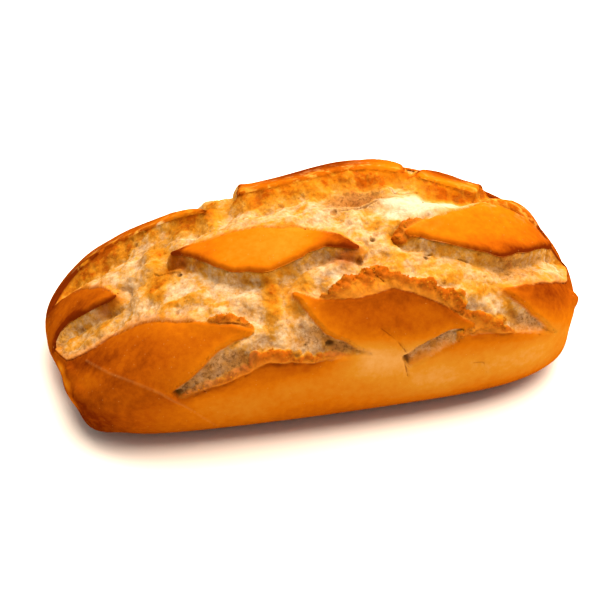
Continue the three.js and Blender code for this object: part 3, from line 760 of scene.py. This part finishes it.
def new_tree(name, sizes):
    """An empty Geometry Nodes tree with named sizes and a seed, its helper and its inputs."""
    tree = bpy.data.node_groups.new(name, "GeometryNodeTree")
    kinds = {"Geometry": "NodeSocketGeometry", **dict.fromkeys(sizes, "NodeSocketFloat"),
             "Seed": "NodeSocketInt"}
    for label, kind in kinds.items():
        tree.interface.new_socket(label, in_out="INPUT", socket_type=kind)
    tree.interface.new_socket("Geometry", in_out="OUTPUT", socket_type="NodeSocketGeometry")
    return tree, partial(add, tree), tree.nodes.new("NodeGroupInput").outputs


def finish_tree(put, geometry, material):
    """Ends a tree in plain geometry with its material."""
    plain = put("GeometryNodeRealizeInstances", [geometry])
    painted = put("GeometryNodeSetMaterial", {"Geometry": plain, "Material": material})
    put("NodeGroupOutput", [painted])


def relief_tree(material):
    """Fine relief of the torn crumb: grain, pores, streaks and crags, at the real size of each."""
    tree, put, given = new_tree("torn_crumb_relief", (
        "Grain size", "Grain height", "Pore size", "Pore depth", "Crag size", "Crag height",
        "Streak width", "Streak height"))
    mark = {name: put(NAMED, {"Name": name}, data_type="FLOAT") for name in (
        "crumb", "coarse", "crag", "crest", "wall", "edge")}
    scale = {name: put(MATH, (1.0, given[name]), operation="DIVIDE") for name in (
        "Grain size", "Pore size", "Crag size", "Streak width")}
    # A noise swings by a part of 1 only, and these bring each to the height that is asked for
    tall = {name: put(MATH, (given[name], factor), operation="MULTIPLY") for name, factor in (
        ("Grain height", 3.4), ("Crag height", 6.0), ("Streak height", 3.0))}

    # Grain is a fine noise over a coarse one. Noise is 0 to 1, so each is centred on zero first.
    fine = put(NOISE, {"W": given["Seed"], "Scale": scale["Grain size"], "Detail": 4.0,
                       "Roughness": 0.65}, noise_dimensions="4D")
    coarse_size = put(MATH, (given["Grain size"], 3.2), operation="MULTIPLY")
    coarse = put(NOISE, {"W": put(MATH, (given["Seed"], 7.1), operation="ADD"),
                         "Scale": put(MATH, (1.0, coarse_size), operation="DIVIDE"),
                         "Detail": 2.0}, noise_dimensions="4D")
    grain = put(MATH, (put(MATH, (fine, coarse), operation="ADD"), 1.0), operation="SUBTRACT")
    grain = put(MATH, (grain, tall["Grain height"]), operation="MULTIPLY")

    # Gas pores: some cells of a Voronoi pattern are hollowed out round their middles
    cells = put("ShaderNodeTexVoronoi", {"W": given["Seed"], "Scale": scale["Pore size"]},
                out="Distance", voronoi_dimensions="4D")
    chance = put("FunctionNodeSeparateColor", [cells.node.outputs["Color"]])
    reach = put(MATH, (chance, 0.6), operation="SUBTRACT", use_clamp=True)
    reach = put(MATH, (reach, 0.001), operation="MAXIMUM")
    hollow = put(MATH, (1.0, put(MATH, (cells, reach), operation="DIVIDE")), operation="SUBTRACT",
                 use_clamp=True)
    pore = put(MATH, (put(MATH, [hollow], operation="SQRT"), given["Pore depth"]), operation="MULTIPLY")

    # Crags: the creases of a folded noise stand up, most of all on the crest of a ridge
    folded = put(NOISE, {"W": put(MATH, (given["Seed"], 4.4), operation="ADD"),
                         "Scale": scale["Crag size"], "Detail": 3.0}, noise_dimensions="4D")
    folded = put(MATH, [put(MATH, (folded, 0.5), operation="SUBTRACT")], operation="ABSOLUTE")
    crease = put(MATH, (0.16, folded), operation="SUBTRACT")
    share = put(MATH, (mark["crag"], 0.35, mark["crest"]), operation="MULTIPLY_ADD")
    crags = put(MATH, (put(MATH, (crease, share), operation="MULTIPLY"), tall["Crag height"]),
                operation="MULTIPLY")

    # Streaks run down a torn wall, so their noise is stretched along the way round the loaf
    place = put(NAMED, {"Name": "place"}, data_type="FLOAT_VECTOR")
    stretched = put(VECTOR, (place, (1.0, 0.28, 1.0)), operation="MULTIPLY")
    streak = put(NOISE, {"Vector": stretched, "W": given["Seed"], "Scale": scale["Streak width"],
                         "Detail": 3.0}, noise_dimensions="4D")
    streak = put(MATH, (put(MATH, (streak, 0.5), operation="SUBTRACT"), mark["wall"]), operation="MULTIPLY")
    streak = put(MATH, (streak, tall["Streak height"]), operation="MULTIPLY")

    height = put(MATH, (put(MATH, (grain, crags), operation="ADD"), streak), operation="ADD")
    height = put(MATH, (height, pore), operation="SUBTRACT")
    fade = put(RANGE, (mark["edge"], 0.4, 2.2), interpolation_type="SMOOTHSTEP")
    for share in (put(MATH, (fade, mark["coarse"]), operation="MULTIPLY"), mark["crumb"]):
        height = put(MATH, (height, share), operation="MULTIPLY")
    noted = put(STORE, {"Geometry": given["Geometry"], "Name": "relief",
                        "Value": put(MATH, (height, 1 / MM), operation="MULTIPLY")},
                data_type="FLOAT", domain="POINT")
    offset = put(VECTOR, {0: put("GeometryNodeInputNormal"), "Scale": height}, operation="SCALE")
    finish_tree(put, put(MOVE, {"Geometry": noted, "Offset": offset}), material)
    return tree


def flake_tree(material):
    """Small torn flakes of crumb, thick on the crags and sparse in the valleys."""
    tree, put, given = new_tree("torn_crumb_flakes", ("Flake size", "Flakes per area"))
    crest, crumb, edge = (put(NAMED, {"Name": name}, data_type="FLOAT")
                          for name in ("crest", "crumb", "edge"))
    thick = put(MATH, (crumb, 0.01, put(MATH, (crest, 2.0), operation="POWER")), operation="MULTIPLY_ADD")
    density = put(MATH, (thick, put(RANGE, (edge, 1.0, 3.0))), operation="MULTIPLY")
    density = put(MATH, (density, given["Flakes per area"]), operation="MULTIPLY")
    toast = put(STORE, {"Geometry": given["Geometry"], "Name": "toast", "Value": crest},
                data_type="FLOAT", domain="POINT")
    spots = put("GeometryNodeDistributePointsOnFaces", {
        "Mesh": toast, "Density": density, "Seed": given["Seed"]}, out="Points")

    # One lump of a few dozen faces is bent out of round, and each copy is turned and stretched
    lump = put("GeometryNodeMeshIcoSphere", {"Radius": 0.5, "Subdivisions": 2}, out="Mesh")
    rough = put(NOISE, {"Scale": 2.2, "Detail": 1.0}, out="Color")
    shift = put(VECTOR, (rough, (0.5, 0.5, 0.5)), operation="SUBTRACT")
    shift = put(VECTOR, (shift, (1.5, 1.5, 1.5)), operation="MULTIPLY")
    lump = put(MOVE, {"Geometry": lump, "Offset": shift})
    spin = put(DRAW, {0: (0.0, 0.0, 0.0), 1: (0.7, 0.7, 2 * math.pi), "Seed": given["Seed"]},
               data_type="FLOAT_VECTOR")
    next_seed = put(MATH, (given["Seed"], 1.0), operation="ADD")
    spread = put(DRAW, {0: (0.35, 0.3, 0.5), 1: (0.9, 0.7, 1.3), "Seed": next_seed},
                 data_type="FLOAT_VECTOR")
    size = put(VECTOR, {0: spread, "Scale": given["Flake size"]}, operation="SCALE")
    placed = put("GeometryNodeInstanceOnPoints", {
        "Points": spots, "Instance": lump, "Rotation": spots.node.outputs["Rotation"], "Scale": size})
    finish_tree(put, put("GeometryNodeRotateInstances", {"Instances": placed, "Rotation": spin}), material)
    return tree


def new_material(name):
    """An empty material, its helper and its shader."""
    material = bpy.data.materials.new(name)
    material.use_nodes = True
    tree = material.node_tree
    return material, partial(add, tree), tree.nodes["Principled BSDF"]


def bread_material(colours):
    """Baked wheat crust and the crumb torn open under it.

    The crust was browned by dry heat: golden where it was shaded and dark where it stood out. It was baked
    without a glaze, so neither it nor the crumb shines. The crumb is pale, and toasted where it stands up.
    """
    material, put, shader = new_material("Baked wheat crust and torn crumb")
    mark = {name: put(MARK, attribute_name=name, out="Fac") for name in (
        "brown", "toast", "crumb", "coarse", "crag", "crest", "wall", "narrow", "rind", "fringe", "band",
        "pit", "crease", "seam", "crack", "relief")}
    space = put("ShaderNodeTexCoord", out="Object")
    place = put(MARK, attribute_name="place", out="Vector")

    # Crust: clouds of browning as wide as a thumb, blisters of a few millimetres and fine specks
    clouds = put(NOISE, {"Vector": space, "Scale": 1 / (22 * MM), "Detail": 3.0})
    blisters = put(NOISE, {"Vector": space, "Scale": 1 / (2.8 * MM), "Detail": 4.0, "Roughness": 0.65})
    brown = put(MATH, (clouds, 0.32, mark["brown"]), operation="MULTIPLY_ADD")
    brown = put(MATH, (blisters, 0.32, brown), operation="MULTIPLY_ADD")
    brown = put(MATH, (brown, 0.32), operation="SUBTRACT")
    crust = put(RAMP, [brown], stops=[
        (0.0, colours.pale_crust), (0.3, colours.golden_crust), (0.55, colours.orange_crust),
        (0.8, colours.brown_crust), (1.0, colours.dark_crust)])
    grit = put("ShaderNodeTexVoronoi", {"Vector": space, "Scale": 1 / (1.4 * MM)}, out="Distance")
    rare = put("ShaderNodeSeparateColor", [grit.node.outputs["Color"]])
    speck = put(MATH, (put(MATH, (grit, 0.16), operation="LESS_THAN"),
                       put(MATH, (rare, 0.86), operation="GREATER_THAN")), operation="MULTIPLY")
    for factor, colour in (
            (put(MATH, (speck, 0.25), operation="MULTIPLY"), colours.pale_crust),
            (put(RANGE, (mark["seam"], 0.1, 0.8, 0.12, 0.0)), colours.pale_crust),
            (put(RANGE, (mark["crack"], 0.05, 0.35, 0.6, 0.0)), colours.dark_crust)):
        crust = put(MIX, {"Factor": factor, "A": crust, "B": colour}, out="Result", data_type="RGBA")

    # Crumb: how far each place is toasted, from its crags and walls and some spots of a few millimetres
    patches = put(NOISE, {"Vector": space, "Scale": 1 / (8.5 * MM), "Detail": 3.0, "Roughness": 0.55})
    patches = put(RANGE, (patches, 0.50, 0.72, 0.0, 0.42))
    spots = put(NOISE, {"Vector": space, "Scale": 1 / (3.6 * MM), "Detail": 5.0, "Roughness": 0.7})
    spots = put(RANGE, (spots, 0.3, 0.7, -0.22, 0.22))
    spots = put(MATH, (spots, mark["coarse"], patches), operation="MULTIPLY_ADD")
    stretched = put(VECTOR, (place, (1.0, 0.25, 1.0)), operation="MULTIPLY")
    streaks = put(NOISE, {"Vector": stretched, "Scale": 1 / (4.5 * MM), "Detail": 4.0})
    streaks = put(RANGE, (streaks, 0.3, 0.7, 0.16, 0.44))
    walls = put(MATH, (streaks, mark["wall"]), operation="MULTIPLY")
    ridges = put(MATH, (mark["crag"], 0.30, put(MATH, (mark["crest"], 0.45), operation="MULTIPLY")),
                 operation="MULTIPLY_ADD")
    toast = put(MATH, (put(MATH, (walls, ridges), operation="MAXIMUM"), mark["toast"]), operation="ADD")
    toast = put(MATH, (toast, spots), operation="ADD")
    toast = put(MATH, (mark["fringe"], 0.25, toast), operation="MULTIPLY_ADD")
    crumb = put(RAMP, [toast], stops=[
        (0.0, colours.pale_crumb), (0.25, colours.cream_crumb), (0.48, colours.yellow_crumb),
        (0.7, colours.toasted_crumb), (1.0, colours.singed_crumb)])

    # Its fibres and finest pores are darkened with painted shade. They are drawn 1.6 mm apart, since finer
    # ones would not show.
    pores = put(NOISE, {"Vector": space, "Scale": 1 / (1.6 * MM), "Detail": 6.0, "Roughness": 0.8,
                        "Distortion": 0.6})
    shallow = put(RANGE, (pores, 0.52, 0.34, 0.0, 0.5))
    shallow = put(MATH, (shallow, mark["coarse"]), operation="MULTIPLY")
    # In narrow cuts and hollows the pores are darkened further, as painted shade
    shaded_slot_pores = put(RANGE, (pores, 0.52, 0.40, 0.0, 0.7))
    shaded_slot_pores = put(MATH, (shaded_slot_pores, mark["narrow"]), operation="MULTIPLY")
    creased = put(MATH, (put(MATH, (mark["pit"], 0.8), operation="MULTIPLY"),
                         put(RANGE, (mark["crease"], 0.1, 0.6, 0.55, 0.0))), operation="MAXIMUM")
    # Painted shade darkens the pores, the narrow cuts and hollows, the low places of the relief, the creases
    # and the pits; the golden band beside an edge and the rind are the crumb's own colour
    for factor, colour in (
            (shallow, colours.pore_shadow),
            (put(MATH, (mark["narrow"], 0.72), operation="MULTIPLY"), colours.shaded_slot_crumb),
            (shaded_slot_pores, colours.crease_shadow),
            (put(RANGE, (mark["relief"], 0.05, -0.7, 0.0, 0.65)), colours.pore_shadow),
            (put(MATH, (mark["band"], 0.8), operation="MULTIPLY"), colours.ridge_crust),
            (creased, colours.crease_shadow),
            (mark["rind"], colours.brown_crust)):
        crumb = put(MIX, {"Factor": factor, "A": crumb, "B": colour}, out="Result", data_type="RGBA")

    # Along the top of a torn wall crust and crumb run into each other in ragged blots
    blots = put(NOISE, {"Vector": space, "Scale": 1 / (5 * MM), "Detail": 5.0, "Roughness": 0.6})
    blots = put(RANGE, (blots, 0.40, 0.62, -1.0, 1.0))
    mixed = put(MATH, (blots, mark["fringe"], mark["crumb"]), operation="MULTIPLY_ADD", use_clamp=True)
    colour = put(MIX, {"Factor": mixed, "A": crust, "B": crumb}, out="Result", data_type="RGBA")

    # Bumps: fine pits in the crust and torn fibres in the crumb, which is the rougher of the two
    rough = put(RANGE, (mark["crumb"], 0.0, 1.0, 0.6, 0.9))
    fibres = put(NOISE, {"Vector": space, "Scale": 1 / (1.8 * MM), "Detail": 6.0, "Roughness": 0.75,
                         "Distortion": 0.8})
    pits = put(NOISE, {"Vector": space, "Scale": 1 / (0.8 * MM), "Detail": 2.0})
    bumps = put(MIX, {"Factor": mark["crumb"], "A": pits, "B": fibres}, out="Result")
    depth = put(RANGE, (mark["crumb"], 0.0, 1.0, 0.06 * MM, 0.7 * MM))
    normal = put("ShaderNodeBump", {"Height": bumps, "Distance": depth, "Strength": 1.0})
    for name, value in (("Base Color", colour), ("Roughness", rough), ("Normal", normal)):
        material.node_tree.links.new(value, shader.inputs[name])
    shader.inputs["IOR"].default_value = 1.45
    shader.inputs["Specular IOR Level"].default_value = 0.0
    return material


def flake_material(colours):
    """Toasted crumb flakes: shreds of dry crumb, matt and browned where they stand highest."""
    material, put, shader = new_material("Toasted crumb flakes")
    space = put("ShaderNodeTexCoord", out="Object")
    clouds = put(NOISE, {"Vector": space, "Scale": 1 / (4 * MM), "Detail": 3.0})
    toast = put(RANGE, (put(MARK, attribute_name="toast", out="Fac"), 0.0, 1.0, 0.35, 0.7))
    toast = put(MATH, (put(MATH, (clouds, 0.5), operation="SUBTRACT"), 0.8, toast),
                operation="MULTIPLY_ADD")
    colour = put(RAMP, [toast], stops=[
        (0.0, colours.pale_crumb), (0.3, colours.yellow_crumb), (0.6, colours.toasted_crumb),
        (0.9, colours.singed_crumb)])
    material.node_tree.links.new(colour, shader.inputs["Base Color"])
    shader.inputs["Roughness"].default_value = 0.9
    shader.inputs["IOR"].default_value = 1.45
    shader.inputs["Specular IOR Level"].default_value = 0.02
    return material


def size_property(name, description, millimetres):
    return FloatProperty(name=name, description=description, default=millimetres * MM, unit="LENGTH")


def colour_property(name, description, hex_colour):
    return FloatVectorProperty(name=name, description=description, default=linear(hex_colour), size=4,
                               min=0, max=1, subtype="COLOR")


class LoafShape(PropertyGroup):
    """Sizes of the loaf and of its relief"""
    length: size_property("Length", "Length of the loaf", 210)
    width: size_property("Width", "Width of the loaf", 117)
    height: size_property("Height", "Height of the loaf", 77)
    grain_size: size_property("Grain size", "Size of the lumps that the torn crumb is made of", 1.8)
    grain_height: size_property("Grain height", "How far those lumps stand out", 0.65)
    pore_size: size_property("Pore spacing", "Distance between the gas pores of the crumb", 4.2)
    pore_depth: size_property("Pore depth", "Depth of the gas pores", 1.2)
    crag_size: size_property("Crag size", "Size of the crags on a torn ridge", 4.5)
    crag_height: size_property("Crag height", "How far the crags stand up", 1.4)
    streak_width: size_property("Streak width", "Width of the streaks that run down a torn wall", 3)
    streak_height: size_property("Streak height", "How far those streaks stand out", 0.35)
    flake_size: size_property("Flake size", "Usual length of a loose flake of crumb", 0.9)
    flakes_per_area: FloatProperty(name="Flakes per square metre", default=250000, min=0,
                                   description="How thick the flakes lie on a ridge of crags")
    seed: IntProperty(name="Seed", description="Which of many like loaves is made", default=3)


class LoafColours(PropertyGroup):
    """Colours of the crust and of the crumb"""
    pale_crust: colour_property("Pale crust", "Crust that took the least heat", "BA8A4C")
    golden_crust: colour_property("Golden crust", "Lightly browned crust", "AC701C")
    orange_crust: colour_property("Orange crust", "Crust that is just baked", "A65A06")
    ridge_crust: colour_property("Ridge crust", "Smooth slope from the crust to torn crumb", "C47420")
    brown_crust: colour_property("Brown crust", "Raised edges of the crust", "8A4004")
    dark_crust: colour_property("Dark crust", "Lips and cracks", "5C1E02")
    pale_crumb: colour_property("Pale crumb", "Crumb that opened last", "C4B296")
    cream_crumb: colour_property("Cream crumb", "Most of the crumb", "B8966A")
    yellow_crumb: colour_property("Yellow crumb", "Crumb that began to toast", "B27E30")
    toasted_crumb: colour_property("Toasted crumb", "Torn ridges and walls", "AE6E14")
    singed_crumb: colour_property("Singed crumb", "Tips of the crags", "964404")
    # Painted shade: crumb deep in a narrow cut or a hollow is given this darker colour
    shaded_slot_crumb: colour_property("Shaded slot crumb", "Crumb deep in a narrow cut", "8E6238")
    pore_shadow: colour_property("Pore shadow", "Floor of a gas pore", "8C5618")
    crease_shadow: colour_property("Crease shadow", "Bottom of a crease or of a cut's end", "50300F")


class LoafStudio(PropertyGroup):
    """Light and camera"""
    sky: FloatProperty(name="Sky strength", description="Light from all round", default=0.50, min=0)
    key: FloatProperty(name="Key power", description="Power of the soft light above", default=54,
                       min=0, unit="POWER")
    key_size: size_property("Key size", "Side of the soft light", 1500)
    tilt: FloatProperty(name="Camera tilt", description="How far the camera looks down",
                        default=math.radians(32.72), subtype="ANGLE")
    turn: FloatProperty(name="Camera turn", description="How far the camera stands to the left",
                        default=math.radians(12.62), subtype="ANGLE")
    distance: size_property("Camera distance", "From the loaf to the camera", 650)
    lens: FloatProperty(name="Lens", description="Focal length", default=98.8, unit="CAMERA")


class LOAF_OT_bake(Operator):
    """Makes the loaf with its plates, valleys and fine relief"""
    bl_idname = "loaf.bake"
    bl_label = "Bake the loaf"

    def execute(self, context):
        shape = context.scene.loaf_shape
        loaf = BakedLoaf(shape.length / MM, shape.width / MM, shape.height / MM)
        tree = relief_tree(bread_material(context.scene.loaf_colours))
        piece = add_piece(LOAF, loaf.mesh(LOAF), tree, shape)
        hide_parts(NODE)
        return {"FINISHED"}


class LOAF_OT_scatter(Operator):
    """Scatters torn flakes of crumb over the crags and the valleys of the loaf"""
    bl_idname = "loaf.scatter"
    bl_label = "Scatter the flakes"

    def execute(self, context):
        tree = flake_tree(flake_material(context.scene.loaf_colours))
        add_piece(FLAKES, bpy.data.objects[LOAF].data.copy(), tree, context.scene.loaf_shape)
        return {"FINISHED"}


class LOAF_OT_studio(Operator):
    """Sets up the floor, the lights and the camera"""
    bl_idname = "loaf.studio"
    bl_label = "Set up the studio"

    def execute(self, context):
        scene = context.scene
        studio = scene.loaf_studio
        # White paper is matt, so the light on it is even and the loaf's shadow is soft
        paper, _, shader = new_material("White paper")
        shader.inputs["Base Color"].default_value = linear("F4EEE8")
        shader.inputs["Roughness"].default_value = 0.9
        bpy.ops.mesh.primitive_plane_add(size=FLOOR_SIZE)
        floor = context.object
        floor.name = "floor"
        floor.data.materials.append(paper)

        level = math.cos(studio.tilt)
        away = Vector((-level * math.sin(studio.turn), -level * math.cos(studio.turn),
                       math.sin(studio.tilt)))
        camera = bpy.data.objects.new("camera", bpy.data.cameras.new("camera"))
        camera.data.lens = studio.lens
        camera.data.shift_x, camera.data.shift_y = SHIFT
        camera.data.clip_start = 0.01
        camera.location = Vector(AIM) + studio.distance * away
        camera.rotation_euler = away.to_track_quat("Z", "Y").to_euler()
        scene.camera = camera

        world = bpy.data.worlds.new("Studio")
        world.use_nodes = True
        sky = world.node_tree.nodes["Background"]
        sky.inputs["Color"].default_value = linear("FFF6EC")
        sky.inputs["Strength"].default_value = studio.sky
        scene.world = world
        light = bpy.data.lights.new("key", "AREA")
        light.energy = studio.key
        light.size = studio.key_size
        light.color = linear("FFF0DC")[:3]
        key = bpy.data.objects.new("key", light)
        key.location = KEY_PLACE
        key.rotation_euler = key.location.to_track_quat("Z", "Y").to_euler()
        for item in (camera, key):
            scene.collection.objects.link(item)
        scene.view_settings.view_transform = "Standard"
        return {"FINISHED"}


class LOAF_PT_panel(Panel):
    """Lists the sizes of the loaf and the steps that make it"""
    bl_label = "Candeal Loaf"
    bl_space_type = "VIEW_3D"
    bl_region_type = "UI"
    bl_category = "Loaf"

    def draw(self, context):
        scene = context.scene
        for group in (scene.loaf_shape, scene.loaf_colours, scene.loaf_studio):
            for name in group.__annotations__:
                self.layout.prop(group, name)
        for step in (LOAF_OT_bake, LOAF_OT_scatter, LOAF_OT_studio):
            self.layout.operator(step.bl_idname)


GROUPS = {"loaf_shape": LoafShape, "loaf_colours": LoafColours, "loaf_studio": LoafStudio}
CLASSES = (*GROUPS.values(), LOAF_OT_bake, LOAF_OT_scatter, LOAF_OT_studio, LOAF_PT_panel)


def register():
    for item in CLASSES:
        bpy.utils.register_class(item)
    for name, group in GROUPS.items():
        setattr(bpy.types.Scene, name, PointerProperty(type=group))


def unregister():
    for name in GROUPS:
        delattr(bpy.types.Scene, name)
    for item in reversed(CLASSES):
        bpy.utils.unregister_class(item)


def main():
    register()
    bpy.ops.loaf.bake()
    bpy.ops.loaf.scatter()
    bpy.ops.loaf.studio()


if __name__ == "__main__":
    main()
